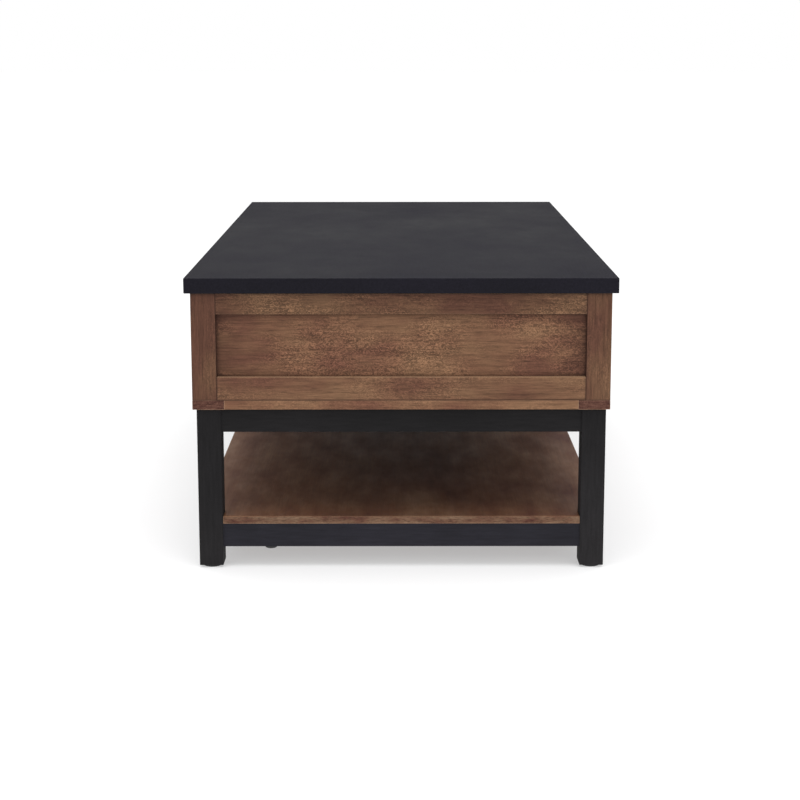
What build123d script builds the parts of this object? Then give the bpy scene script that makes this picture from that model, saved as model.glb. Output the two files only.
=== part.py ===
from build123d import *
import math
import os

os.makedirs("parts", exist_ok=True)

# Lift top coffee table, closed. Millimetres, +Z up, origin on the floor under the middle.
# X is the length, Y the depth, and the user sits on the -Y side.

# Overall size
length = 1270.0
depth = 711.0
height = 495.0

# Lid
top_thickness = 25.0
overhang = 9.5
bumper_height = 1.5
bumper_diameter = 12.0

# Storage box, a frame-and-panel case standing on a ring of flat strips
case_underside = 274.0
strip_thickness = 16.0
strip_width = 53.0
wall_thickness = 20.0
post_size = 41.0
top_rail_height = 34.5
bottom_rail_height = 39.0
panel_thickness = 8.0
panel_recess = 8.0
groove_depth = 8.0
panel_bite = 7.0
floor_thickness = 12.0
floor_clearance = 0.5

# Leg frame with its shelf
leg_size = 40.0
leg_inset = 6.0
rail_height = 40.0
rail_thickness = 20.0
rail_setback = 3.0
tenon_length = 12.0
tenon_thickness = 10.0
tenon_shoulder = 5.0
lower_rail_base = 36.0
shelf_thickness = 13.0
notch_clearance = 0.5
glide_diameter = 33.0
glide_height = 4.0
glide_stem = 6.0
glide_stem_length = 16.0
dowel_diameter = 10.0
dowel_length = 60.0
shelf_bolt_offset = 220.0
shelf_bolt_head = 21.0
shelf_bolt_head_height = 3.8
shelf_bolt_shank = 6.0

# Lift mechanism: a parallelogram of two bars on each end, folded back when the lid is down
arm_length = 280.0
arm_rest_angle = 13.8
arm_travel = 110.4
arm_width = 24.0
link_width = 20.0
arm_pivot_y = -60.0
link_pivot_y = -200.0
lower_pivot_z = 377.0
pin_diameter = 8.0
pin_head_diameter = 14.0
tail_length = 32.0
tail_angle = 214.8
tail_width = 18.0
spring_pin_diameter = 6.0
spring_anchor_y = 125.0
spring_wire = 2.0
spring_diameter = 14.0
spring_turns = 40
spring_hook = 5.2
spring_neck = 9.0
spring_slack = 0.9
bracket_front_y = -250.0
bracket_rear_y = 150.0
bracket_thickness = 2.5
bar_thickness = 3.0
bracket_face_x = 590.0
flange_edge_x = 562.0
top_flange_edge_x = 556.0
layer_gap = 0.5
head_gap = 0.3
screw_diameter = 4.0
screw_head = 8.0
screw_head_height = 2.2
screw_recess_length = 4.6
screw_recess_width = 1.0
screw_recess_depth = 1.1

# Fits
running_clearance = 0.05
hole_clearance = 0.1

# Derived heights
lid_underside = height - top_thickness
case_rim = lid_underside - bumper_height
wall_base = case_underside + strip_thickness
panel_base = wall_base + bottom_rail_height
panel_top = case_rim - top_rail_height
floor_top = wall_base + floor_thickness
upper_rail_base = case_underside - rail_height
shelf_underside = lower_rail_base + rail_height
shelf_top = shelf_underside + shelf_thickness

# Derived half sizes
case_x = length / 2 - overhang
case_y = depth / 2 - overhang
leg_x = case_x - leg_inset
leg_y = case_y - leg_inset
leg_inner_x = leg_x - leg_size
leg_inner_y = leg_y - leg_size
leg_centre_x = leg_x - leg_size / 2
leg_centre_y = leg_y - leg_size / 2
post_inner_x = case_x - post_size
post_inner_y = case_y - post_size
end_rail_x = leg_x - rail_setback - rail_thickness / 2
long_rail_y = leg_y - rail_setback - rail_thickness / 2

sides = {"left": -1, "right": 1}
faces = {"front": -1, "rear": 1}


def save(piece, name):
    """Labels one finished piece and writes it under its own name."""
    piece.part.label = name
    export_step(piece.part, f"parts/{name}.step")


def block(x_range, y_range, z_range, mode=Mode.ADD):
    """Adds or cuts one square block between the given limits of the part being built."""
    middle = [(low + high) / 2 for low, high in (x_range, y_range, z_range)]
    size = [abs(high - low) for low, high in (x_range, y_range, z_range)]
    with Locations(tuple(middle)):
        Box(*size, mode=mode)


def upright_holes(spots, diameter, base, reach):
    """Cuts round holes upwards from the height base into the part being built."""
    with BuildSketch(Plane.XY.offset(base)) as holes:
        with Locations(*spots):
            Circle(diameter / 2)
    extrude(holes.sketch, amount=reach, mode=Mode.SUBTRACT)


# ---------------------------------------------------------------- leg frame


def leg(side, face, name):
    """One square leg with a mortise for each rail and holes for its glide and dowel."""
    middle = (side * leg_centre_x, face * leg_centre_y)
    with BuildPart() as piece:
        with BuildSketch(Plane.XY.offset(glide_height)):
            with Locations(middle):
                Rectangle(leg_size, leg_size)
        extrude(amount=case_underside - glide_height)
        fillet(piece.edges().filter_by(Axis.Z), 1.2)
        chamfer(piece.faces().sort_by(Axis.Z)[0].edges(), 0.8)
        for rail_base in (lower_rail_base, upper_rail_base):
            tenon_z = (rail_base + tenon_shoulder, rail_base + rail_height - tenon_shoulder)
            deep = tenon_length + 1
            block(
                (side * (end_rail_x - tenon_thickness / 2), side * (end_rail_x + tenon_thickness / 2)),
                (face * leg_inner_y, face * (leg_inner_y + deep)),
                tenon_z,
                Mode.SUBTRACT,
            )
            block(
                (side * leg_inner_x, side * (leg_inner_x + deep)),
                (face * (long_rail_y - tenon_thickness / 2), face * (long_rail_y + tenon_thickness / 2)),
                tenon_z,
                Mode.SUBTRACT,
            )
        stem_hole = glide_stem + 2 * hole_clearance
        upright_holes([middle], stem_hole, glide_height, glide_stem_length + 1)
        dowel_hole = dowel_diameter + 2 * hole_clearance
        upright_holes([middle], dowel_hole, case_underside - dowel_length / 2 - 1, dowel_length)
    save(piece, name)


def end_rail(side, base, name):
    """A rail across one end of the leg frame, tenoned into two legs."""
    middle = side * end_rail_x
    with BuildPart() as piece:
        block(
            (middle - rail_thickness / 2, middle + rail_thickness / 2),
            (-leg_inner_y, leg_inner_y),
            (base, base + rail_height),
        )
        fillet(piece.edges().filter_by(Axis.Y), 1.0)
        block(
            (middle - tenon_thickness / 2, middle + tenon_thickness / 2),
            (-leg_inner_y - tenon_length, leg_inner_y + tenon_length),
            (base + tenon_shoulder, base + rail_height - tenon_shoulder),
        )
        if base == lower_rail_base:
            bolt_hole = shelf_bolt_shank + 2 * hole_clearance
            upright_holes([(middle, -side * shelf_bolt_offset)], bolt_hole, base, rail_height)
    save(piece, name)


def long_rail(face, base, name):
    """A rail along the front or rear of the leg frame, tenoned into two legs."""
    middle = face * long_rail_y
    with BuildPart() as piece:
        block(
            (-leg_inner_x, leg_inner_x),
            (middle - rail_thickness / 2, middle + rail_thickness / 2),
            (base, base + rail_height),
        )
        fillet(piece.edges().filter_by(Axis.X), 1.0)
        block(
            (-leg_inner_x - tenon_length, leg_inner_x + tenon_length),
            (middle - tenon_thickness / 2, middle + tenon_thickness / 2),
            (base + tenon_shoulder, base + rail_height - tenon_shoulder),
        )
    save(piece, name)


for side_name, side in sides.items():
    for face_name, face in faces.items():
        leg(side, face, f"leg_{face_name}_{side_name}")
    end_rail(side, upper_rail_base, f"upper_end_rail_{side_name}")
    end_rail(side, lower_rail_base, f"lower_end_rail_{side_name}")

for face_name, face in faces.items():
    long_rail(face, upper_rail_base, f"upper_long_rail_{face_name}")
    long_rail(face, lower_rail_base, f"lower_long_rail_{face_name}")

shelf_end_x = leg_x - rail_setback
shelf_bolt_spots = [(side * end_rail_x, -side * shelf_bolt_offset) for side in sides.values()]

# The shelf lies on the lower rails and is notched round the legs.
with BuildPart() as shelf:
    with BuildSketch(Plane.XY.offset(shelf_underside)):
        Rectangle(2 * shelf_end_x, 2 * leg_y)
        with GridLocations(2 * leg_centre_x, 2 * leg_centre_y, 2, 2):
            Rectangle(leg_size + 2 * notch_clearance, leg_size + 2 * notch_clearance, mode=Mode.SUBTRACT)
    extrude(amount=shelf_thickness)
    fillet(shelf.faces().sort_by(Axis.Z)[-1].edges(), 1.5)
    upright_holes(shelf_bolt_spots, shelf_bolt_shank + 2 * hole_clearance, shelf_underside, 10)
save(shelf, "shelf")

# One domed bolt under each lower end rail holds the shelf down.
with BuildPart() as shelf_bolts:
    with BuildSketch(Plane.XY.offset(lower_rail_base - shelf_bolt_head_height)):
        with Locations(*shelf_bolt_spots):
            Circle(shelf_bolt_head / 2)
    extrude(amount=shelf_bolt_head_height)
    fillet(shelf_bolts.edges().group_by(Axis.Z)[0], 2.6)
    with BuildSketch(Plane.XY.offset(lower_rail_base)):
        with Locations(*shelf_bolt_spots):
            Circle(shelf_bolt_shank / 2)
    extrude(amount=rail_height + 9)
save(shelf_bolts, "shelf_bolts")

# Nail-in glides under the legs
with BuildPart() as foot_glides:
    with BuildSketch():
        with GridLocations(2 * leg_centre_x, 2 * leg_centre_y, 2, 2):
            Circle(glide_diameter / 2)
    extrude(amount=glide_height)
    fillet(foot_glides.edges().group_by(Axis.Z)[0], 1.2)
    with BuildSketch(Plane.XY.offset(glide_height)):
        with GridLocations(2 * leg_centre_x, 2 * leg_centre_y, 2, 2):
            Circle(glide_stem / 2)
    extrude(amount=glide_stem_length)
save(foot_glides, "foot_glides")

# Dowels that join the legs to the strips and posts above them
with BuildPart() as leg_dowels:
    with BuildSketch(Plane.XY.offset(case_underside - dowel_length / 2)):
        with GridLocations(2 * leg_centre_x, 2 * leg_centre_y, 2, 2):
            Circle(dowel_diameter / 2)
    extrude(amount=dowel_length)
    chamfer(leg_dowels.edges().group_by(Axis.Z)[0], 1)
    chamfer(leg_dowels.edges().group_by(Axis.Z)[-1], 1)
save(leg_dowels, "leg_dowels")

# ---------------------------------------------------------------- storage box

groove_x = (case_x - panel_recess - panel_thickness, case_x - panel_recess)
groove_y = (case_y - panel_recess - panel_thickness, case_y - panel_recess)
dowel_hole_spots = [
    (side * leg_centre_x, face * leg_centre_y) for side in sides.values() for face in faces.values()
]


def side_range(side, limits):
    """The pair of limits on one side of the middle, with side +1 or -1."""
    return (side * limits[0], side * limits[1])


def corner_post(side, face, name):
    """A square corner post, grooved on its two inner faces for the walls."""
    with BuildPart() as piece:
        block(
            side_range(side, (post_inner_x, case_x)),
            side_range(face, (post_inner_y, case_y)),
            (wall_base, case_rim),
        )
        fillet(piece.edges().filter_by(Axis.Z), 1.2)
        block(
            side_range(side, groove_x),
            side_range(face, (post_inner_y, post_inner_y + groove_depth)),
            (wall_base, case_rim),
            Mode.SUBTRACT,
        )
        block(
            side_range(side, (post_inner_x, post_inner_x + groove_depth)),
            side_range(face, groove_y),
            (wall_base, case_rim),
            Mode.SUBTRACT,
        )
        middle = (side * leg_centre_x, face * leg_centre_y)
        dowel_reach = dowel_length / 2 - strip_thickness + 1
        upright_holes([middle], dowel_diameter + 2 * hole_clearance, wall_base, dowel_reach)
    save(piece, name)


def end_wall_rail(side, z_range, groove_z, name):
    """A rail of one end wall, tongued into the posts and grooved for the panel."""
    with BuildPart() as piece:
        block(
            side_range(side, (case_x - wall_thickness, case_x)),
            (-post_inner_y, post_inner_y),
            z_range,
        )
        fillet(piece.edges().filter_by(Axis.Y), 0.9)
        tongue = post_inner_y + groove_depth
        block(side_range(side, groove_x), (-tongue, tongue), z_range)
        block(side_range(side, groove_x), (-tongue, tongue), groove_z, Mode.SUBTRACT)
    save(piece, name)


def long_wall_rail(face, z_range, groove_z, name):
    """A rail of the front or rear wall, tongued into the posts and grooved for the panels."""
    with BuildPart() as piece:
        block(
            (-post_inner_x, post_inner_x),
            side_range(face, (case_y - wall_thickness, case_y)),
            z_range,
        )
        fillet(piece.edges().filter_by(Axis.X), 0.9)
        tongue = post_inner_x + groove_depth
        block((-tongue, tongue), side_range(face, groove_y), z_range)
        block((-tongue, tongue), side_range(face, groove_y), groove_z, Mode.SUBTRACT)
    save(piece, name)


def centre_stile(face, name):
    """The upright in the middle of a long wall, tongued into both rails."""
    half = post_size / 2
    with BuildPart() as piece:
        block(
            (-half, half),
            side_range(face, (case_y - wall_thickness, case_y)),
            (panel_base, panel_top),
        )
        fillet(piece.edges().filter_by(Axis.Z), 0.9)
        block(
            (-half, half),
            side_range(face, groove_y),
            (panel_base - panel_bite, panel_top + panel_bite),
        )
        for side in sides.values():
            block(
                side_range(side, (half - groove_depth, half)),
                side_range(face, groove_y),
                (panel_base - panel_bite, panel_top + panel_bite),
                Mode.SUBTRACT,
            )
    save(piece, name)


def panel(x_range, y_range, name):
    """A flat panel that stands in the grooves of its frame."""
    with BuildPart() as piece:
        block(x_range, y_range, (panel_base - panel_bite, panel_top + panel_bite))
    save(piece, name)


top_rail_z = (panel_top, case_rim)
bottom_rail_z = (wall_base, panel_base)
top_groove_z = (panel_top, panel_top + groove_depth)
bottom_groove_z = (panel_base - groove_depth, panel_base)

for side_name, side in sides.items():
    for face_name, face in faces.items():
        corner_post(side, face, f"corner_post_{face_name}_{side_name}")
    end_wall_rail(side, top_rail_z, top_groove_z, f"end_top_rail_{side_name}")
    end_wall_rail(side, bottom_rail_z, bottom_groove_z, f"end_bottom_rail_{side_name}")
    panel_y = post_inner_y + panel_bite
    panel(side_range(side, groove_x), (-panel_y, panel_y), f"end_panel_{side_name}")

for face_name, face in faces.items():
    long_wall_rail(face, top_rail_z, top_groove_z, f"{face_name}_top_rail")
    long_wall_rail(face, bottom_rail_z, bottom_groove_z, f"{face_name}_bottom_rail")
    centre_stile(face, f"{face_name}_centre_stile")
    for side_name, side in sides.items():
        panel_x = (post_size / 2 - panel_bite, post_inner_x + panel_bite)
        panel(side_range(side, panel_x), side_range(face, groove_y), f"{face_name}_panel_{side_name}")

# The ring of flat strips under the walls: the front and rear ones run the whole length.
for face_name, face in faces.items():
    with BuildPart() as long_strip:
        block(
            (-case_x, case_x),
            side_range(face, (case_y - strip_width, case_y)),
            (case_underside, wall_base),
        )
        fillet(long_strip.edges().filter_by(Axis.X), 1.2)
        spots = [spot for spot in dowel_hole_spots if spot[1] * face > 0]
        upright_holes(spots, dowel_diameter + 2 * hole_clearance, case_underside, strip_thickness)
    save(long_strip, f"base_strip_{face_name}")

for side_name, side in sides.items():
    with BuildPart() as cross_strip:
        block(
            side_range(side, (case_x - strip_width, case_x)),
            (-(case_y - strip_width), case_y - strip_width),
            (case_underside, wall_base),
        )
        fillet(cross_strip.edges().filter_by(Axis.Y), 1.2)
    save(cross_strip, f"base_strip_{side_name}")

screw_x = (flange_edge_x + 8, flange_edge_x + 18)
base_screw_y = (-235.0, -140.0, -45.0, 50.0, 135.0)
base_screw_spots = [
    (side * screw_x[index % 2], y) for side in sides.values() for index, y in enumerate(base_screw_y)
]
top_screw_y = (-40.0, 30.0, 150.0, 270.0)
top_screw_spots = [(side * (top_flange_edge_x + 10), y) for side in sides.values() for y in top_screw_y]

# Floor of the storage box, notched round the corner posts
with BuildPart() as box_floor:
    with BuildSketch(Plane.XY.offset(wall_base)):
        floor_x = case_x - wall_thickness - floor_clearance
        floor_y = case_y - wall_thickness - floor_clearance
        Rectangle(2 * floor_x, 2 * floor_y)
        notch = post_size + 2 * floor_clearance
        with GridLocations(2 * case_x - post_size, 2 * case_y - post_size, 2, 2):
            Rectangle(notch, notch, mode=Mode.SUBTRACT)
    extrude(amount=floor_thickness)
    upright_holes(base_screw_spots, screw_diameter + 2 * hole_clearance, floor_top - 10.5, 10.5)
save(box_floor, "box_floor")

# Soft pads on the posts that the closed lid rests on
with BuildPart() as lid_bumpers:
    with BuildSketch(Plane.XY.offset(case_rim)):
        with GridLocations(2 * case_x - post_size, 2 * case_y - post_size, 2, 2):
            Circle(bumper_diameter / 2)
    extrude(amount=bumper_height)
save(lid_bumpers, "lid_bumpers")

# ---------------------------------------------------------------- lid

with BuildPart() as lid_top:
    with BuildSketch(Plane.XY.offset(lid_underside)):
        Rectangle(length, depth)
    extrude(amount=top_thickness)
    fillet(lid_top.edges().filter_by(Axis.Z), 1.5)
    fillet(lid_top.faces().sort_by(Axis.Z)[-1].edges(), 1.0)
    chamfer(lid_top.faces().sort_by(Axis.Z)[0].edges(), 0.8)
    upright_holes(top_screw_spots, screw_diameter + 2 * hole_clearance, lid_underside, 13)
save(lid_top, "lid_top")

# ---------------------------------------------------------------- lift mechanism


def polar(origin, distance, angle):
    """The point at a distance and angle from an origin, in a plane across the table."""
    turn = math.radians(angle)
    return (origin[0] + distance * math.cos(turn), origin[1] + distance * math.sin(turn))


def between(first, second):
    """The point half way between two others."""
    return ((first[0] + second[0]) / 2, (first[1] + second[1]) / 2)


def layer(side, x_range):
    """The plane at the low X side of a layer that lies between two distances from the middle."""
    return Plane.YZ.offset(min(side * x_range[0], side * x_range[1]))


def thickness_of(x_range):
    """How thick a layer is."""
    return abs(x_range[1] - x_range[0])


arm_pivot = (arm_pivot_y, lower_pivot_z)
link_pivot = (link_pivot_y, lower_pivot_z)
arm_tip = polar(arm_pivot, arm_length, arm_rest_angle)
link_tip = polar(link_pivot, arm_length, arm_rest_angle)
tail_pin = polar(arm_pivot, tail_length, tail_angle)
spring_anchor = (spring_anchor_y, tail_pin[1])

# The stop touches the front edge of the front link when the lid is fully raised.
raised_angle = arm_rest_angle + arm_travel
stop_foot = polar(link_pivot, 40, raised_angle)
stop_pin = polar(stop_foot, link_width / 2 + pin_diameter / 2 + head_gap, raised_angle + 90)

# Layers, as distances from the middle of the table
base_plate_x = (bracket_face_x, bracket_face_x + bracket_thickness)
bar_x = (bracket_face_x - layer_gap - bar_thickness, bracket_face_x - layer_gap)
top_plate_x = (bar_x[0] - layer_gap - bracket_thickness, bar_x[0] - layer_gap)
spring_x = top_plate_x[0] - 8.5
spring_pin_end_x = spring_x - 7.0

pivot_hole = pin_diameter + 2 * running_clearance


def punch(spots, diameter, side, x_range):
    """Cuts round holes right through a layer of the part being built."""
    with BuildSketch(layer(side, x_range)) as holes:
        with Locations(*spots):
            Circle(diameter / 2)
    extrude(holes.sketch, amount=thickness_of(x_range), mode=Mode.SUBTRACT)


def pins(spots, diameter, side, x_range):
    """Adds round pins or pin heads that fill a layer of the part being built."""
    with BuildSketch(layer(side, x_range)) as discs:
        with Locations(*spots):
            Circle(diameter / 2)
    extrude(discs.sketch, amount=thickness_of(x_range))


def base_bracket(side, name):
    """The fixed side plate with its foot flange, screwed to the floor of the box."""
    plate_outline = [
        (bracket_front_y, floor_top),
        (bracket_rear_y, floor_top),
        (bracket_rear_y, floor_top + 70),
        (arm_pivot_y + 35, lower_pivot_z + 17),
        (link_pivot_y - 12, stop_pin[1] + 11),
        (bracket_front_y, stop_pin[1] + 11),
    ]
    with BuildPart() as piece:
        with BuildSketch(layer(side, base_plate_x)) as plate:
            with BuildLine():
                Polyline(*plate_outline, close=True)
            make_face()
            fillet(plate.vertices().filter_by_position(Axis.Y, floor_top + 1, 1000), 9)
            with Locations((-130, floor_top + 32), (45, floor_top + 32)):
                SlotOverall(110, 20, mode=Mode.SUBTRACT)
        extrude(amount=bracket_thickness)
        block(
            side_range(side, (flange_edge_x, base_plate_x[1])),
            (bracket_front_y, bracket_rear_y),
            (floor_top, floor_top + bracket_thickness),
        )
        punch([arm_pivot, link_pivot, stop_pin], pivot_hole, side, base_plate_x)
        punch([spring_anchor], spring_pin_diameter + 2 * hole_clearance, side, base_plate_x)
        spots = [spot for spot in base_screw_spots if spot[0] * side > 0]
        screw_hole = screw_diameter + 2 * hole_clearance
        upright_holes(spots, screw_hole, floor_top, bracket_thickness)
    save(piece, name)


def lift_arm(side, name):
    """The rear bar, with a tail beyond its pivot for the spring."""
    with BuildPart() as piece:
        with BuildSketch(layer(side, bar_x)):
            with Locations(between(arm_pivot, arm_tip)):
                SlotCenterToCenter(arm_length, arm_width, rotation=arm_rest_angle)
                SlotOverall(170, 8, rotation=arm_rest_angle, mode=Mode.SUBTRACT)
            with Locations(between(arm_pivot, tail_pin)):
                SlotCenterToCenter(tail_length, tail_width, rotation=tail_angle)
        extrude(amount=bar_thickness)
        punch([arm_pivot, arm_tip], pivot_hole, side, bar_x)
        punch([tail_pin], spring_pin_diameter + 2 * hole_clearance, side, bar_x)
    save(piece, name)


def front_link(side, name):
    """The front bar, which keeps the lid level."""
    with BuildPart() as piece:
        with BuildSketch(layer(side, bar_x)):
            with Locations(between(link_pivot, link_tip)):
                SlotCenterToCenter(arm_length, link_width, rotation=arm_rest_angle)
        extrude(amount=bar_thickness)
        punch([link_pivot, link_tip], pivot_hole, side, bar_x)
    save(piece, name)


def top_bracket(side, name):
    """The angle under the lid that joins the tips of the two bars."""
    plate_outline = [
        (link_tip[0] - 40, lid_underside),
        (link_tip[0] - 16, link_tip[1] - 13),
        (arm_tip[0] + 16, arm_tip[1] - 13),
        (arm_tip[0] + 40, lid_underside),
    ]
    with BuildPart() as piece:
        with BuildSketch(layer(side, top_plate_x)) as plate:
            with BuildLine():
                Polyline(*plate_outline, close=True)
            make_face()
            fillet(plate.vertices().group_by(Axis.Y)[0], 10)
        extrude(amount=bracket_thickness)
        block(
            side_range(side, (top_flange_edge_x, top_plate_x[1])),
            (-60, 290),
            (lid_underside - bracket_thickness, lid_underside),
        )
        punch([link_tip, arm_tip], pivot_hole, side, top_plate_x)
        spots = [spot for spot in top_screw_spots if spot[0] * side > 0]
        screw_hole = screw_diameter + 2 * hole_clearance
        upright_holes(spots, screw_hole, lid_underside - bracket_thickness, bracket_thickness)
    save(piece, name)


def assist_spring(side, name):
    """The coil spring between the arm's tail and the base bracket, with a closed loop at each end.

    Its turns are drawn as ribs round a thin tube, because they are too fine to be worth a helix.
    """
    centre_x = side * spring_x
    coil_start = tail_pin[0] + spring_slack + spring_hook + spring_neck
    coil_end = spring_anchor[0] - spring_slack - spring_hook - spring_neck
    coil_length = coil_end - coil_start
    pitch = coil_length / spring_turns
    coil_radius = (spring_diameter - spring_wire) / 2
    foot = (centre_x, coil_start, tail_pin[1])
    with BuildPart() as piece:
        with BuildSketch(Plane(origin=foot, x_dir=(0, 1, 0), z_dir=(1, 0, 0))):
            with Locations((coil_length / 2, coil_radius - spring_wire / 4)):
                Rectangle(coil_length, spring_wire / 2)
            with Locations(*[(pitch * (turn + 0.5), coil_radius) for turn in range(spring_turns)]):
                RegularPolygon(spring_wire / 2, 6)
        revolve(axis=Axis(foot, (0, 1, 0)))
        for pin, inward in ((tail_pin, 1), (spring_anchor, -1)):
            loop_middle = pin[0] + inward * spring_slack
            coil_tip = pin[0] + inward * (spring_slack + spring_hook + spring_neck)
            with Locations(Location((centre_x, loop_middle, pin[1]), (0, 90, 0))):
                Torus(spring_hook, spring_wire / 2)
            neck_foot = (centre_x, loop_middle + inward * spring_hook, pin[1])
            with BuildSketch(Plane(origin=neck_foot, z_dir=(0, inward, 0))) as neck:
                Circle(spring_wire / 2)
            extrude(neck.sketch, amount=spring_neck + 1.5)
            with BuildSketch(Plane.XY.offset(pin[1] - coil_radius + 0.5)) as bar:
                with Locations((centre_x, coil_tip + inward * 1.5)):
                    Circle(spring_wire * 0.6)
            extrude(bar.sketch, amount=2 * coil_radius - 1)
    save(piece, name)


for side_name, side in sides.items():
    base_bracket(side, f"base_bracket_{side_name}")
    lift_arm(side, f"lift_arm_{side_name}")
    front_link(side, f"front_link_{side_name}")
    top_bracket(side, f"top_bracket_{side_name}")
    assist_spring(side, f"assist_spring_{side_name}")

# Rivets fixed in the base brackets, on which the bars turn
with BuildPart() as lower_pivot_pins:
    for side in sides.values():
        inner_head_x = (bar_x[0] - head_gap - 2, bar_x[0] - head_gap)
        outer_head_x = (base_plate_x[1], base_plate_x[1] + 2)
        pins([arm_pivot, link_pivot], pin_diameter, side, (inner_head_x[0], outer_head_x[1]))
        pins([arm_pivot, link_pivot], pin_head_diameter, side, inner_head_x)
        pins([arm_pivot, link_pivot], pin_head_diameter, side, outer_head_x)
save(lower_pivot_pins, "lower_pivot_pins")

# Rivets fixed in the top brackets, which turn in the tips of the bars
with BuildPart() as upper_pivot_pins:
    for side in sides.values():
        inner_head_x = (top_plate_x[0] - 2, top_plate_x[0])
        outer_head_x = (bar_x[1] + head_gap, bar_x[1] + head_gap + 1.5)
        pins([arm_tip, link_tip], pin_diameter, side, (inner_head_x[0], outer_head_x[1]))
        pins([arm_tip, link_tip], pin_head_diameter, side, inner_head_x)
        pins([arm_tip, link_tip], pin_head_diameter, side, outer_head_x)
save(upper_pivot_pins, "upper_pivot_pins")

# Pins on the arms' tails that pull the springs
with BuildPart() as spring_tail_pins:
    for side in sides.values():
        pins([tail_pin], spring_pin_diameter, side, (spring_pin_end_x, bar_x[1]))
        pins([tail_pin], spring_pin_diameter + 3, side, (spring_pin_end_x, spring_pin_end_x + 1.5))
save(spring_tail_pins, "spring_tail_pins")

# Pins in the base brackets that hold the springs' fixed ends
with BuildPart() as spring_anchor_pins:
    for side in sides.values():
        outer_head_x = (base_plate_x[1], base_plate_x[1] + 1.5)
        pins([spring_anchor], spring_pin_diameter, side, (spring_pin_end_x, outer_head_x[1]))
        pins([spring_anchor], spring_pin_diameter + 3, side, (spring_pin_end_x, spring_pin_end_x + 1.5))
        pins([spring_anchor], spring_pin_diameter + 4, side, outer_head_x)
save(spring_anchor_pins, "spring_anchor_pins")

# Pins in the base brackets that stop the front links
with BuildPart() as stop_pins:
    for side in sides.values():
        outer_head_x = (base_plate_x[1], base_plate_x[1] + 2)
        pins([stop_pin], pin_diameter, side, (bar_x[0], outer_head_x[1]))
        pins([stop_pin], pin_head_diameter, side, outer_head_x)
save(stop_pins, "stop_pins")

# Screws that hold the base brackets to the floor of the box
with BuildPart() as base_bracket_screws:
    with BuildSketch(Plane.XY.offset(floor_top + bracket_thickness)):
        with Locations(*base_screw_spots):
            Circle(screw_head / 2)
    extrude(amount=screw_head_height)
    fillet(base_bracket_screws.edges().group_by(Axis.Z)[-1], 1.2)
    with BuildSketch(Plane.XY.offset(floor_top + bracket_thickness + screw_head_height)):
        with Locations(*base_screw_spots):
            Rectangle(screw_recess_length, screw_recess_width)
            Rectangle(screw_recess_width, screw_recess_length)
    extrude(amount=-screw_recess_depth, mode=Mode.SUBTRACT)
    with BuildSketch(Plane.XY.offset(floor_top - 9.5)):
        with Locations(*base_screw_spots):
            Circle(screw_diameter / 2)
    extrude(amount=9.5 + bracket_thickness)
save(base_bracket_screws, "base_bracket_screws")

# Screws that hold the top brackets to the lid
with BuildPart() as top_bracket_screws:
    with BuildSketch(Plane.XY.offset(lid_underside - bracket_thickness - screw_head_height)):
        with Locations(*top_screw_spots):
            Circle(screw_head / 2)
    extrude(amount=screw_head_height)
    fillet(top_bracket_screws.edges().group_by(Axis.Z)[0], 1.2)
    with BuildSketch(Plane.XY.offset(lid_underside - bracket_thickness - screw_head_height)):
        with Locations(*top_screw_spots):
            Rectangle(screw_recess_length, screw_recess_width)
            Rectangle(screw_recess_width, screw_recess_length)
    extrude(amount=screw_recess_depth, mode=Mode.SUBTRACT)
    with BuildSketch(Plane.XY.offset(lid_underside - bracket_thickness)):
        with Locations(*top_screw_spots):
            Circle(screw_diameter / 2)
    extrude(amount=12 + bracket_thickness)
save(top_bracket_screws, "top_bracket_screws")
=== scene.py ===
"""Looks for the lift top coffee table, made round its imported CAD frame. Metres."""

import math

import bpy
from mathutils import Matrix, Vector


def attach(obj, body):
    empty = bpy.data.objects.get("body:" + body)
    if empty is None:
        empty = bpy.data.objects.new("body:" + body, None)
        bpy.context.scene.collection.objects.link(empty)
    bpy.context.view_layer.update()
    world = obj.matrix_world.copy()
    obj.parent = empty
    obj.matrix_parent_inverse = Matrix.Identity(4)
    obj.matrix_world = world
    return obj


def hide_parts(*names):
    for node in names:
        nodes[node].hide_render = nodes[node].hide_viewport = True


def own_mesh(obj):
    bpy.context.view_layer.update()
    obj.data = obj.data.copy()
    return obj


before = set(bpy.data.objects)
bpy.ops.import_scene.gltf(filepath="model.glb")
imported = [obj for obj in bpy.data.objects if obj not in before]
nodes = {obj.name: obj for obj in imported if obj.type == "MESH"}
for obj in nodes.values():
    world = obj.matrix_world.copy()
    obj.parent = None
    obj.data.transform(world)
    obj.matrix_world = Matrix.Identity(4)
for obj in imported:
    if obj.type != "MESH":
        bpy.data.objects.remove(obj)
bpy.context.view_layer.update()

# ------------------------------------------------------------------ node helpers


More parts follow.
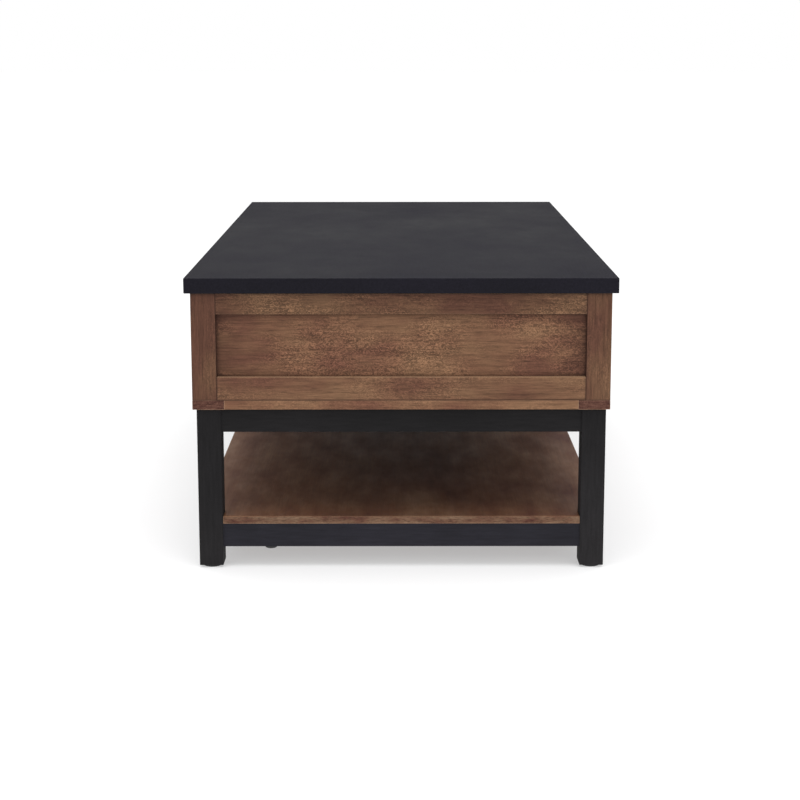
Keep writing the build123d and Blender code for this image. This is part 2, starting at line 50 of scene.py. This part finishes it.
class Shader:
    """One material's node tree, built by short calls that return output sockets."""

    def __init__(self, name):
        self.material = bpy.data.materials.new(name)
        self.material.use_nodes = True
        self.tree = self.material.node_tree
        self.tree.nodes.clear()
        self.surface = self.tree.nodes.new("ShaderNodeBsdfPrincipled")
        output = self.tree.nodes.new("ShaderNodeOutputMaterial")
        self.tree.links.new(self.surface.outputs[0], output.inputs["Surface"])
        self.place = self.tree.nodes.new("ShaderNodeTexCoord").outputs["Object"]

    def put(self, socket, value):
        """Links an output to a socket, or sets the socket's own value."""
        if isinstance(value, bpy.types.NodeSocket):
            self.tree.links.new(value, socket)
        elif isinstance(value, tuple) and len(value) == 3 and socket.type == "RGBA":
            socket.default_value = (*value, 1.0)
        else:
            socket.default_value = value

    def math(self, operation, a, b=0.0, clamp=False):
        """One arithmetic step on two numbers or outputs."""
        node = self.tree.nodes.new("ShaderNodeMath")
        node.operation = operation
        node.use_clamp = clamp
        self.put(node.inputs[0], a)
        self.put(node.inputs[1], b)
        return node.outputs[0]

    def stretched(self, place, scale, offset=(0.0, 0.0, 0.0)):
        """The place scaled along each axis, and moved so that each piece has its own pattern."""
        node = self.tree.nodes.new("ShaderNodeMapping")
        self.put(node.inputs["Vector"], place)
        node.inputs["Location"].default_value = offset
        node.inputs["Scale"].default_value = scale
        return node.outputs[0]

    def noise(self, place, scale=1.0, detail=4.0, roughness=0.55, distortion=0.0):
        """Fractal noise, near 0.5 on the whole."""
        node = self.tree.nodes.new("ShaderNodeTexNoise")
        self.put(node.inputs["Vector"], place)
        node.inputs["Scale"].default_value = scale
        node.inputs["Detail"].default_value = detail
        node.inputs["Roughness"].default_value = roughness
        node.inputs["Distortion"].default_value = distortion
        return node.outputs["Fac"]

    def ramp(self, factor, stops):
        """A colour or grey ramp through (position, value) stops."""
        node = self.tree.nodes.new("ShaderNodeValToRGB")
        self.put(node.inputs[0], factor)
        elements = node.color_ramp.elements
        while len(elements) > 1:
            elements.remove(elements[-1])
        for index, (position, value) in enumerate(stops):
            element = elements[0] if index == 0 else elements.new(position)
            element.position = position
            colour = value if isinstance(value, tuple) else (value, value, value)
            element.color = (*colour, 1.0)
        return node.outputs[0]

    def mix(self, factor, a, b, blend="MIX"):
        """Colour b over colour a. The Mix node's colour sockets are inputs 6 and 7 and output 2."""
        node = self.tree.nodes.new("ShaderNodeMix")
        node.data_type = "RGBA"
        node.blend_type = blend
        self.put(node.inputs[0], factor)
        self.put(node.inputs[6], a)
        self.put(node.inputs[7], b)
        return node.outputs[2]

    def axis_part(self, place, axis):
        """The X, Y or Z part of a place or normal."""
        node = self.tree.nodes.new("ShaderNodeSeparateXYZ")
        self.put(node.inputs[0], place)
        return node.outputs["XYZ".index(axis)]

    def crevice(self, reach):
        """1 in the open and less in corners and recesses."""
        node = self.tree.nodes.new("ShaderNodeAmbientOcclusion")
        node.samples = 8
        node.inputs["Distance"].default_value = reach
        return node.outputs["AO"]

    def near_ends(self, axis, low, high, width):
        """1 at both ends of a piece along one axis, fading to 0 over a width."""
        part = self.axis_part(self.place, axis)
        from_low = self.math("SUBTRACT", part, low)
        from_high = self.math("SUBTRACT", high, part)
        gap = self.math("DIVIDE", self.math("MINIMUM", from_low, from_high), width)
        return self.math("SUBTRACT", 1.0, gap, clamp=True)

    def edge_mask(self, radius, gain):
        """1 on edges and 0 on flat faces, from how far a rounded normal leans from the true one."""
        bevel = self.tree.nodes.new("ShaderNodeBevel")
        bevel.samples = 6
        bevel.inputs["Radius"].default_value = radius
        geometry = self.tree.nodes.new("ShaderNodeNewGeometry")
        dot = self.tree.nodes.new("ShaderNodeVectorMath")
        dot.operation = "DOT_PRODUCT"
        self.put(dot.inputs[0], bevel.outputs[0])
        self.put(dot.inputs[1], geometry.outputs["True Normal"])
        lean = self.math("SUBTRACT", 1.0, dot.outputs["Value"])
        return self.math("MULTIPLY", lean, gain, clamp=True)

    def bump(self, height, distance, strength):
        """A normal that follows a height, for relief too fine to model."""
        node = self.tree.nodes.new("ShaderNodeBump")
        node.inputs["Strength"].default_value = strength
        node.inputs["Distance"].default_value = distance
        self.put(node.inputs["Height"], height)
        return node.outputs[0]

    def finish(self, **inputs):
        """Sets the surface's sockets by name, with spaces written as underscores."""
        for name, value in inputs.items():
            self.put(self.surface.inputs[name.replace("_", " ")], value)
        return self.material


# ------------------------------------------------------------------ materials

# Dark brown of the joint lines, also used as painted shade at the panels' ends.
JOINT_AND_SHADE_BROWN = (0.028, 0.009, 0.006)
# Light brown of worn edges, also laid on faces that look up as a painted highlight.
WEAR_AND_HIGHLIGHT_BROWN = (0.42, 0.265, 0.160)


def brown_wood(name, grain, seed, warmth=0.5, tone=1.0, scaly=1.0, darkened_spans=(), end_grain=False):
    """Stained brown wood with its grain along one axis.

    warmth leans the stain to red-brown (0) or tan (1), tone scales its lightness, and scaly is the
    strength of the short wavy figure. The list of spans holds (axis, low, high, width, depth). At the
    ends of a span the board meets another piece, and the stain is darker over that width. On a panel
    the darkening is wider and is painted shade from the stiles.
    """
    s = Shader(name)
    along = "XYZ".index(grain)
    offset = (seed * 1.37, seed * 2.11, seed * 0.73)

    def scaled(across, lengthwise):
        return tuple(lengthwise if axis == along else across for axis in range(3))

    patches = s.noise(s.stretched(s.place, scaled(13.0, 6.5), offset), detail=2.0, roughness=0.5)
    clouds = s.noise(s.stretched(s.place, scaled(34.0, 14.0), offset), detail=3.0, roughness=0.6)
    streak = s.noise(s.stretched(s.place, scaled(230.0, 9.0), offset), detail=4.0, roughness=0.6)
    fibre = s.noise(s.stretched(s.place, scaled(620.0, 40.0), offset), detail=3.0, roughness=0.6)
    curl = s.noise(s.stretched(s.place, scaled(165.0, 88.0), offset), detail=1.5, distortion=1.9)
    worm = s.math("ABSOLUTE", s.math("SUBTRACT", curl, 0.5))
    other_offset = (offset[2], offset[0], offset[1])
    where = s.noise(s.stretched(s.place, scaled(17.0, 8.0), other_offset), detail=2.0)
    figured = s.ramp(where, [(0.40, 0.15), (0.56, 1.0)])

    red = (0.106 * tone, 0.045 * tone, 0.0275 * tone)
    mid = (0.130 * tone, 0.062 * tone, 0.0345 * tone)
    tan = (0.162 * tone, 0.085 * tone, 0.0455 * tone)
    lean = s.math("ADD", s.math("MULTIPLY", patches, 0.7), s.math("MULTIPLY", clouds, 0.3))
    lean = s.math("ADD", lean, (warmth - 0.5) * 0.30)
    colour = s.ramp(lean, [(0.40, red), (0.50, mid), (0.62, tan)])
    colour = s.mix(1.0, colour, s.ramp(streak, [(0.30, 0.76), (0.52, 1.0), (0.75, 1.16)]), "MULTIPLY")
    colour = s.mix(1.0, colour, s.ramp(fibre, [(0.30, 0.74), (0.5, 1.0), (0.72, 1.20)]), "MULTIPLY")
    scales = s.ramp(worm, [(0.0, 1.95), (0.030, 1.26), (0.070, 0.90), (0.15, 0.66)])
    scaly_colour = s.mix(1.0, colour, scales, "MULTIPLY")
    colour = s.mix(s.math("MULTIPLY", figured, scaly, clamp=True), colour, scaly_colour)
    pores = s.ramp(fibre, [(0.30, 0.55), (0.38, 1.0)])
    colour = s.mix(0.6, colour, pores, "MULTIPLY")
    normal = s.tree.nodes.new("ShaderNodeTexCoord").outputs["Normal"]
    if end_grain:
        facing = s.math("ABSOLUTE", s.axis_part(normal, grain))
        speckle = s.noise(s.place, scale=760.0, detail=3.0)
        rings = s.noise(s.stretched(s.place, (1.0, 60.0, 420.0), offset), detail=3.0)
        rough_ends = s.math("MULTIPLY", s.math("ADD", speckle, rings), 0.5)
        ends = s.ramp(rough_ends, [
            (0.38, (0.034, 0.011, 0.008)),
            (0.50, (0.078, 0.031, 0.021)),
            (0.62, (0.128, 0.060, 0.041)),
        ])
        colour = s.mix(s.math("GREATER_THAN", facing, 0.8), colour, ends)

    # Painted shade: corners and recesses get darker the more enclosed they are, except on faces that
    # look up.
    upward = s.math("MULTIPLY", s.axis_part(normal, "Z"), 1.4, clamp=True)
    hollow = s.ramp(s.crevice(0.012), [(0.35, 0.38), (0.85, 1.0)])
    recess_painted_shade = s.mix(1.0, colour, hollow, "MULTIPLY")
    colour = s.mix(s.math("SUBTRACT", 1.0, upward), colour, recess_painted_shade)
    # Worn edges, plus a painted highlight on every face that looks up, where the light from above
    # falls.
    lighter_mask = s.math("MULTIPLY", s.edge_mask(0.0020, 4.2), s.ramp(clouds, [(0.35, 0.55), (0.6, 1.0)]))
    lighter_mask = s.math("MAXIMUM", s.math("MULTIPLY", lighter_mask, 0.75), s.math("MULTIPLY", upward, 0.34))
    colour = s.mix(lighter_mask, colour, WEAR_AND_HIGHLIGHT_BROWN)
    # Dark joint lines where boards meet. On panels this is a wider painted shade at the ends.
    for axis, low, high, width, depth in darkened_spans:
        line = s.near_ends(axis, low, high, width)
        colour = s.mix(s.math("MULTIPLY", line, depth), colour, JOINT_AND_SHADE_BROWN)

    relief = s.math("ADD", s.math("MULTIPLY", fibre, 0.6), s.math("MULTIPLY", streak, 0.4))
    carved = s.math("MULTIPLY", worm, s.math("MULTIPLY", figured, 1.6 * scaly))
    relief = s.math("SUBTRACT", relief, carved)
    return s.finish(
        Base_Color=colour,
        Roughness=s.ramp(streak, [(0.2, 0.74), (0.8, 0.56)]),
        Specular_IOR_Level=0.15,
        Normal=s.bump(relief, 0.0004, 0.45),
    )


def black_paint(name, level, grain_axis, seed, rough, specular, scuffs, shade_by_height=False):
    """Satin black paint over wood: a faint open grain along one axis and worn arrises.

    rough holds the least and the most roughness, scuffs is how strongly the arrises are worn, and the
    last flag gives painted shade: darker towards the top, under the box, and lighter near the floor.
    """
    s = Shader(name)
    offset = (seed * 1.9, seed * 0.7, seed * 1.3)
    cloud = s.noise(s.stretched(s.place, (2.5, 4.0, 4.0), offset), detail=5.0, roughness=0.6)
    fine = s.noise(s.stretched(s.place, (700.0, 700.0, 700.0), offset), detail=2.0)
    stretch = tuple(22.0 if axis == grain_axis else 260.0 for axis in "XYZ")
    grain = s.noise(s.stretched(s.place, stretch, offset), detail=4.0, roughness=0.6)
    dark = tuple(0.76 * c for c in level)
    light = tuple(1.26 * c for c in level)
    colour = s.ramp(cloud, [(0.32, dark), (0.68, light)])
    colour = s.mix(1.0, colour, s.ramp(grain, [(0.32, 0.84), (0.5, 1.0), (0.68, 1.16)]), "MULTIPLY")
    colour = s.mix(1.0, colour, s.ramp(fine, [(0.3, 0.86), (0.7, 1.14)]), "MULTIPLY")
    # Painted shade: darker towards the top, up under the box, and lighter near the floor.
    if shade_by_height:
        height = s.math("MULTIPLY", s.axis_part(s.place, "Z"), 4.0, clamp=True)
        colour = s.mix(1.0, colour, s.ramp(height, [(0.1, 1.22), (0.45, 1.0), (1.0, 0.72)]), "MULTIPLY")
    worn_places = s.ramp(s.noise(s.place, scale=18.0), [(0.4, 0.25), (0.7, 1.0)])
    lighter_mask = s.math("MULTIPLY", s.edge_mask(0.0014, 2.6), worn_places)
    colour = s.mix(s.math("MULTIPLY", lighter_mask, scuffs, clamp=True), colour, (0.10, 0.10, 0.105))
    relief = s.math("ADD", s.math("MULTIPLY", grain, 0.8), s.math("MULTIPLY", fine, 0.35))
    return s.finish(
        Base_Color=colour,
        Roughness=s.ramp(cloud, [(0.3, rough[0]), (0.7, rough[1])]),
        Specular_IOR_Level=specular,
        Normal=s.bump(relief, 0.00030, 0.6),
    )


def frame_paint(name, level, grain_axis, seed):
    """The black paint of the legs and rails, with painted shade: darker up under the box, lighter near
    the floor.
    """
    return black_paint(name, level, grain_axis, seed, (0.60, 0.78), 0.10, 0.45, True)


def moulded(name, low, high, rough):
    """Moulded black plastic or rubber, with a fine leathery grain."""
    s = Shader(name)
    grain = s.noise(s.place, scale=1500.0, detail=2.0)
    dust = s.noise(s.place, scale=40.0, detail=4.0)
    colour = s.ramp(dust, [(0.35, low), (0.7, high)])
    return s.finish(
        Base_Color=colour,
        Roughness=s.ramp(grain, [(0.3, rough - 0.08), (0.7, rough + 0.08)]),
        Specular_IOR_Level=0.35,
        Normal=s.bump(grain, 0.00008, 0.6),
    )


def coated_steel(name):
    """Black powder coat with orange peel, rubbed thin on its edges."""
    s = Shader(name)
    peel = s.noise(s.place, scale=900.0, detail=2.0)
    haze = s.noise(s.place, scale=30.0, detail=4.0)
    colour = s.ramp(haze, [(0.3, (0.018, 0.018, 0.019)), (0.7, (0.034, 0.034, 0.036))])
    rub = s.math("MULTIPLY", s.edge_mask(0.0008, 2.0), s.noise(s.place, scale=60.0, detail=4.0))
    colour = s.mix(s.math("MULTIPLY", rub, 0.8, clamp=True), colour, (0.22, 0.21, 0.20))
    return s.finish(
        Base_Color=colour,
        Roughness=s.ramp(haze, [(0.3, 0.38), (0.7, 0.55)]),
        Specular_IOR_Level=0.4,
        Normal=s.bump(peel, 0.00006, 0.7),
    )


def bright_steel(name, tint, rough, brushed):
    """Zinc plate or oiled spring wire: blotched, with fine lines of a given strength."""
    s = Shader(name)
    blotch = s.noise(s.place, scale=140.0, detail=4.0)
    lines = s.noise(s.stretched(s.place, (2600.0, 260.0, 2600.0)), detail=2.0)
    dark = tuple(0.72 * c for c in tint)
    colour = s.ramp(blotch, [(0.3, dark), (0.7, tint)])
    return s.finish(
        Base_Color=colour,
        Metallic=1.0,
        Roughness=s.ramp(blotch, [(0.3, rough - 0.07), (0.7, rough + 0.10)]),
        Normal=s.bump(lines, 0.00003, brushed),
    )


def plywood(name):
    """The box floor: thin rotary-cut veneer, thinly stained."""
    s = Shader(name)
    flow = s.noise(s.stretched(s.place, (3.0, 9.0, 9.0)), detail=3.0)
    lines = s.math("SINE", s.math("MULTIPLY", flow, 160.0))
    streak = s.noise(s.stretched(s.place, (7.0, 220.0, 220.0)), detail=4.0)
    colour = s.ramp(flow, [(0.3, (0.155, 0.088, 0.055)), (0.7, (0.235, 0.145, 0.092))])
    colour = s.mix(0.5, colour, s.ramp(lines, [(0.0, 0.85), (1.0, 1.10)]), "MULTIPLY")
    colour = s.mix(1.0, colour, s.ramp(streak, [(0.3, 0.75), (0.7, 1.15)]), "MULTIPLY")
    return s.finish(
        Base_Color=colour,
        Roughness=s.ramp(streak, [(0.3, 0.78), (0.7, 0.62)]),
        Specular_IOR_Level=0.25,
        Normal=s.bump(streak, 0.0003, 0.4),
    )


def bare_beech(name):
    """Unfinished dowel wood."""
    s = Shader(name)
    streak = s.noise(s.stretched(s.place, (900.0, 900.0, 40.0)), detail=3.0)
    colour = s.ramp(streak, [(0.3, (0.40, 0.26, 0.15)), (0.7, (0.60, 0.43, 0.28))])
    return s.finish(Base_Color=colour, Roughness=0.7, Normal=s.bump(streak, 0.0002, 0.5))


def shelf_wood(name):
    """The shelf: the same stain, smoother, with painted shade darkest along the middle, painted light
    towards its long sides, and a mottled edge.
    """
    s = Shader(name)
    patches = s.noise(s.stretched(s.place, (3.4, 7.5, 7.5)), detail=4.0, roughness=0.6)
    clouds = s.noise(s.stretched(s.place, (9.0, 22.0, 22.0)), detail=3.0)
    streak = s.noise(s.stretched(s.place, (7.0, 230.0, 230.0)), detail=4.0, roughness=0.6)
    fibre = s.noise(s.stretched(s.place, (36.0, 560.0, 560.0)), detail=3.0)
    lean = s.math("ADD", s.math("MULTIPLY", patches, 0.6), s.math("MULTIPLY", clouds, 0.4))
    dark = (0.054, 0.020, 0.012)
    mid = (0.082, 0.036, 0.019)
    tan = (0.120, 0.062, 0.034)
    colour = s.ramp(lean, [(0.38, dark), (0.50, mid), (0.64, tan)])
    colour = s.mix(1.0, colour, s.ramp(streak, [(0.28, 0.84), (0.52, 1.0), (0.78, 1.12)]), "MULTIPLY")
    colour = s.mix(1.0, colour, s.ramp(fibre, [(0.30, 0.84), (0.5, 1.0), (0.72, 1.12)]), "MULTIPLY")
    # Painted shade and light: 0 along the middle of the shelf and 1 at its long edges. The middle,
    # under the box, is darkened, and the long edges, which the side light reaches, are lightened.
    outward = s.math("MULTIPLY", s.math("ABSOLUTE", s.axis_part(s.place, "Y")), 2.94, clamp=True)
    colour = s.mix(1.0, colour, s.ramp(outward, [(0.25, 0.96), (0.85, 1.55)]), "MULTIPLY")

    normal = s.tree.nodes.new("ShaderNodeTexCoord").outputs["Normal"]
    edge = s.math("LESS_THAN", s.math("ABSOLUTE", s.axis_part(normal, "Z")), 0.3)
    mottle = s.noise(s.stretched(s.place, (30.0, 26.0, 90.0)), detail=4.0, roughness=0.62)
    flecks = s.noise(s.stretched(s.place, (160.0, 160.0, 520.0)), detail=3.0)
    edging = s.ramp(mottle, [
        (0.34, (0.076, 0.029, 0.020)),
        (0.50, (0.122, 0.064, 0.039)),
        (0.66, (0.170, 0.105, 0.066)),
    ])
    edging = s.mix(1.0, edging, s.ramp(flecks, [(0.32, 0.62), (0.5, 1.0), (0.7, 1.25)]), "MULTIPLY")
    colour = s.mix(edge, colour, edging)
    lighter_mask = s.math("MULTIPLY", s.edge_mask(0.0028, 4.2), s.ramp(mottle, [(0.35, 0.55), (0.6, 1.0)]))
    colour = s.mix(s.math("MULTIPLY", lighter_mask, 0.75), colour, (0.40, 0.25, 0.155))
    return s.finish(
        Base_Color=colour,
        Roughness=s.ramp(clouds, [(0.3, 0.62), (0.7, 0.50)]),
        Specular_IOR_Level=0.12,
        Normal=s.bump(fibre, 0.0002, 0.35),
    )


LID_BLACK = (0.0084, 0.0078, 0.0112)
FRAME_BLACK = (0.0128, 0.0119, 0.0127)
RAIL_BLACK = (0.0135, 0.0130, 0.0170)

lid_paint = black_paint("lid_black_paint", LID_BLACK, "X", 1.0, (0.62, 0.82), 0.062, 0.35)
leg_paint = frame_paint("leg_black_paint", FRAME_BLACK, "Z", 2.0)
upper_rail_paint = {}
lower_rail_paint = {}
for run, grain_axis, seed in (("end", "Y", 3.0), ("long", "X", 4.0)):
    upper_rail_paint[run] = frame_paint(f"upper_{run}_rail_paint", FRAME_BLACK, grain_axis, seed)
    lower_rail_paint[run] = frame_paint(f"lower_{run}_rail_paint", RAIL_BLACK, grain_axis, seed + 2.0)
shelf_stain = shelf_wood("shelf_brown_stain")
floor_ply = plywood("box_floor_veneer")
dowel_beech = bare_beech("dowel_beech")
glide_plastic = moulded("black_moulded_plastic", (0.012, 0.012, 0.012), (0.030, 0.030, 0.031), 0.5)
pad_rubber = moulded("soft_rubber", (0.020, 0.020, 0.020), (0.045, 0.045, 0.045), 0.8)
bracket_steel = coated_steel("black_powder_coat")
plated_steel = bright_steel("zinc_plate", (0.62, 0.62, 0.60), 0.34, 0.5)
spring_wire = bright_steel("oiled_spring_wire", (0.42, 0.41, 0.40), 0.30, 0.3)

plain_looks = {
    "lid_top": lid_paint,
    "shelf": shelf_stain,
    "box_floor": floor_ply,
    "leg_dowels": dowel_beech,
    "foot_glides": glide_plastic,
    "shelf_bolts": glide_plastic,
    "lid_bumpers": pad_rubber,
}
group_looks = [
    ("leg_", leg_paint),
    ("upper_end_rail", upper_rail_paint["end"]),
    ("upper_long_rail", upper_rail_paint["long"]),
    ("lower_end_rail", lower_rail_paint["end"]),
    ("lower_long_rail", lower_rail_paint["long"]),
    ("base_bracket_left", bracket_steel),
    ("base_bracket_right", bracket_steel),
    ("lift_arm", bracket_steel),
    ("front_link", bracket_steel),
    ("top_bracket_left", bracket_steel),
    ("top_bracket_right", bracket_steel),
]


# How far the rails' and panels' tongues run into the posts' grooves.
TONGUE = 0.008
# A span that ends this far past a board has no line at that end.
WELL_PAST = 1.0
# Widths of the darker stain where boards meet, and of the painted shade at a panel's ends.
POST_END_LINE = 0.0018
POST_SIDE_LINE = 0.0016
STRIP_LINE = 0.0016
RAIL_LINE = 0.0022
PANEL_SHADE = 0.050
# Stains dealt out to the boards in turn, so that neighbours differ.
BOARD_WARMTHS = (0.35, 0.62, 0.48, 0.70, 0.42, 0.56)
BOARD_TONES = (0.97, 1.04, 1.0, 1.06, 0.95)


def upright_joints(name, low, high):
    """The joint lines of a post or stile: at its ends and, on a post, at the sides that face a wall."""
    darkened_spans = [("Z", low[2], high[2], POST_END_LINE, 0.85)]
    if "post" in name:
        for index, axis in enumerate("XY"):
            if low[index] > 0:
                darkened_spans.append((axis, low[index], high[index] + WELL_PAST, POST_SIDE_LINE, 0.9))
            else:
                darkened_spans.append((axis, low[index] - WELL_PAST, high[index], POST_SIDE_LINE, 0.9))
    return darkened_spans


def case_look(name, order):
    """A brown stained board with the grain, stain and pattern of its own."""
    corners = [nodes[name].matrix_world @ Vector(corner) for corner in nodes[name].bound_box]
    low = [min(corner[axis] for corner in corners) for axis in range(3)]
    high = [max(corner[axis] for corner in corners) for axis in range(3)]
    look_name = f"wood_{name}"
    seed = order + 3.0
    warmth = BOARD_WARMTHS[order % len(BOARD_WARMTHS)]
    tone = BOARD_TONES[order % len(BOARD_TONES)]
    if "post" in name or "stile" in name:
        darkened_spans = upright_joints(name, low, high)
        return brown_wood(look_name, "Z", seed, warmth - 0.15, tone * 0.76, 0.45, darkened_spans)
    if name.startswith("base_strip"):
        grain = "X" if name in ("base_strip_front", "base_strip_rear") else "Y"
        darkened_spans = [("Z", low[2] - WELL_PAST, high[2], STRIP_LINE, 0.8)]
        # Painted light: base strips are lighter, for the light the floor throws up onto them.
        return brown_wood(look_name, grain, seed, 0.66, tone * 1.08, 0.45, darkened_spans, grain == "X")
    grain = "Y" if name.startswith("end_") else "X"
    axis = "XYZ".index(grain)
    bare_start = low[axis] + TONGUE
    bare_end = high[axis] - TONGUE
    if "panel" in name:
        # Painted shade: a wide darkening at both ends of the panel, where the stiles shade it.
        darkened_spans = [(grain, bare_start, bare_end, PANEL_SHADE, 0.42)]
        return brown_wood(look_name, grain, seed, warmth, tone, 1.0, darkened_spans)
    darkened_spans = [(grain, bare_start, bare_end, RAIL_LINE, 0.9)]
    # Painted shade: top rails are darker and redder, for the lid's overhang above them.
    if "top_rail" in name:
        return brown_wood(look_name, grain, seed, warmth - 0.1, tone * 0.78, 1.0, darkened_spans)
    darkened_spans.append(("Z", low[2], high[2] + WELL_PAST, RAIL_LINE, 0.9))
    return brown_wood(look_name, grain, seed, warmth, tone * 0.99, 0.6, darkened_spans)


def look_for(name, order):
    """The material a CAD node wears."""
    if name in plain_looks:
        return plain_looks[name]
    for start, look in group_looks:
        if name.startswith(start):
            return look
    if name.endswith(("screws", "pins")):
        return plated_steel
    return case_look(name, order)


for order, name in enumerate(sorted(nodes)):
    if name.startswith("assist_spring"):
        continue
    look = look_for(name, order)
    mesh = nodes[name].data
    mesh.materials.clear()
    mesh.materials.append(look)

# ------------------------------------------------------------------ springs

# The arms' pivot and tails in the frame, with the tails' angle, in degrees.
ARM_PIVOT_Y = -0.060
ARM_PIVOT_Z = 0.377
TAIL_LENGTH = 0.032
TAIL_ANGLE = 214.8

SPRING_X = 0.575
SPRING_Z = ARM_PIVOT_Z + TAIL_LENGTH * math.sin(math.radians(TAIL_ANGLE))
TAIL_PIN_Y = ARM_PIVOT_Y + TAIL_LENGTH * math.cos(math.radians(TAIL_ANGLE))
ANCHOR_Y = 0.125
WIRE_RADIUS = 0.0010
LOOP_RADIUS = 0.0054
LOOP_SLACK = 0.0003
LOOP_STEPS = 22
LOOP_SWEEP = 320
NECK = 0.005
COIL_RADIUS = 0.0060
TURNS = 44
STEPS = 18
TAPER_TURNS = 1.5


def end_loop(x, middle_y, start_angle):
    """Points round one end loop, from an angle in degrees."""
    points = []
    for step in range(LOOP_STEPS):
        turn = math.radians(start_angle + step * LOOP_SWEEP / LOOP_STEPS)
        y = middle_y + LOOP_RADIUS * math.cos(turn)
        z = SPRING_Z + LOOP_RADIUS * math.sin(turn)
        points.append(Vector((x, y, z)))
    return points


def spring_path(x):
    """Points along one spring's wire: a loop, a neck, the coil, a neck and a loop."""
    first = TAIL_PIN_Y + LOOP_SLACK
    last = ANCHOR_Y - LOOP_SLACK
    coil_start = first + LOOP_RADIUS + NECK
    coil_end = last - LOOP_RADIUS - NECK
    points = end_loop(x, first, 360 - LOOP_SWEEP)
    points.append(Vector((x, first + LOOP_RADIUS, SPRING_Z)))
    total = TURNS * STEPS
    for step in range(total + 1):
        taper = min(1.0, step / (TAPER_TURNS * STEPS), (total - step) / (TAPER_TURNS * STEPS))
        radius = COIL_RADIUS * math.sin(taper * math.pi / 2)
        turn = 2 * math.pi * step / STEPS
        y = coil_start + (coil_end - coil_start) * step / total
        points.append(Vector((x + radius * math.cos(turn), y, SPRING_Z + radius * math.sin(turn))))
    points.append(Vector((x, last - LOOP_RADIUS, SPRING_Z)))
    points.extend(end_loop(x, last, 180))
    return points


def wire_mesh(name, points, radius):
    """A round wire along the points, as a closed mesh."""
    curve = bpy.data.curves.new(name, "CURVE")
    curve.dimensions = "3D"
    curve.bevel_depth = radius
    curve.bevel_resolution = 2
    curve.use_fill_caps = True
    line = curve.splines.new("POLY")
    line.points.add(len(points) - 1)
    for point, place in zip(line.points, points):
        point.co = (*place, 1.0)
    holder = bpy.data.objects.new(name + "_curve", curve)
    bpy.context.scene.collection.objects.link(holder)
    bpy.context.view_layer.update()
    evaluated = holder.evaluated_get(bpy.context.evaluated_depsgraph_get())
    mesh = bpy.data.meshes.new_from_object(evaluated)
    bpy.data.objects.remove(holder)
    bpy.data.curves.remove(curve)
    mesh.name = name
    mesh.materials.clear()
    piece = bpy.data.objects.new(name, mesh)
    bpy.context.scene.collection.objects.link(piece)
    return piece


for side_name, side in (("left", -1), ("right", 1)):
    spring = wire_mesh(f"spring_coil_{side_name}", spring_path(side * SPRING_X), WIRE_RADIUS)
    spring.data.materials.append(spring_wire)
    for face in spring.data.polygons:
        face.use_smooth = True
    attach(spring, "table")
    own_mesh(spring)
    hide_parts(f"assist_spring_{side_name}")

# ------------------------------------------------------------------ studio


def studio_floor():
    """A plain pale floor that runs out of sight, a little darker round the table."""
    half = 40.0
    mesh = bpy.data.meshes.new("studio_floor")
    corners = [(-half, -half, 0), (half, -half, 0), (half, half, 0), (-half, half, 0)]
    mesh.from_pydata(corners, [], [(0, 1, 2, 3)])
    piece = bpy.data.objects.new("studio_floor", mesh)
    bpy.context.scene.collection.objects.link(piece)
    s = Shader("pale_floor")
    distance = s.tree.nodes.new("ShaderNodeVectorMath")
    distance.operation = "LENGTH"
    s.put(distance.inputs[0], s.place)
    away = s.math("MULTIPLY", distance.outputs["Value"], 0.2, clamp=True)
    colour = s.ramp(away, [(0.16, (0.525, 0.525, 0.528)), (0.7, (0.60, 0.60, 0.60))])
    patchy = s.noise(s.place, scale=3.0, detail=3.0)
    colour = s.mix(1.0, colour, s.ramp(patchy, [(0.3, 0.985), (0.7, 1.0)]), "MULTIPLY")
    floor_look = s.finish(
        Base_Color=colour,
        Roughness=0.9,
        Specular_IOR_Level=0.0,
        Emission_Color=(1.0, 1.0, 1.0),
        Emission_Strength=0.412,
    )
    mesh.materials.append(floor_look)


def soft_light(name, place, target, width, height, power):
    """An area light that looks at a point."""
    data = bpy.data.lights.new(name, "AREA")
    data.shape = "RECTANGLE"
    data.size = width
    data.size_y = height
    data.energy = power
    lamp = bpy.data.objects.new(name, data)
    bpy.context.scene.collection.objects.link(lamp)
    lamp.location = place
    lamp.rotation_euler = (Vector(target) - Vector(place)).to_track_quat("-Z", "Y").to_euler()


studio_floor()
soft_light("overhead_softbox", (0.6, 0.0, 3.4), (0.0, 0.0, 0.3), 3.6, 3.6, 95.0)
soft_light("camera_side_softbox", (4.2, 0.9, 1.9), (0.0, 0.0, 0.3), 2.4, 1.8, 30.0)

world = bpy.data.worlds.new("studio_white")
world.use_nodes = True
world.node_tree.nodes["Background"].inputs["Color"].default_value = (1.0, 1.0, 1.0, 1.0)
world.node_tree.nodes["Background"].inputs["Strength"].default_value = 1.0
bpy.context.scene.world = world
bpy.context.scene.view_settings.view_transform = "Standard"
bpy.context.scene.view_settings.look = "None"

# ------------------------------------------------------------------ camera

# Fitted to the photograph. Angles are in degrees.
CAMERA_PLACE = (3.2860, -0.0021, 0.8805)
CAMERA_DIP = 9.724
CAMERA_ROLL = -0.04

camera_data = bpy.data.cameras.new("camera")
camera_data.sensor_width = 36.0
camera_data.lens = 74.045
camera_data.shift_y = -0.10
camera = bpy.data.objects.new("camera", camera_data)
bpy.context.scene.collection.objects.link(camera)
towards_left_end = Matrix.Rotation(math.radians(90), 4, "Z")
tilt = Matrix.Rotation(math.radians(90 - CAMERA_DIP), 4, "X")
roll = Matrix.Rotation(math.radians(CAMERA_ROLL), 4, "Z")
camera.matrix_world = Matrix.Translation(CAMERA_PLACE) @ towards_left_end @ tilt @ roll
bpy.context.scene.camera = camera
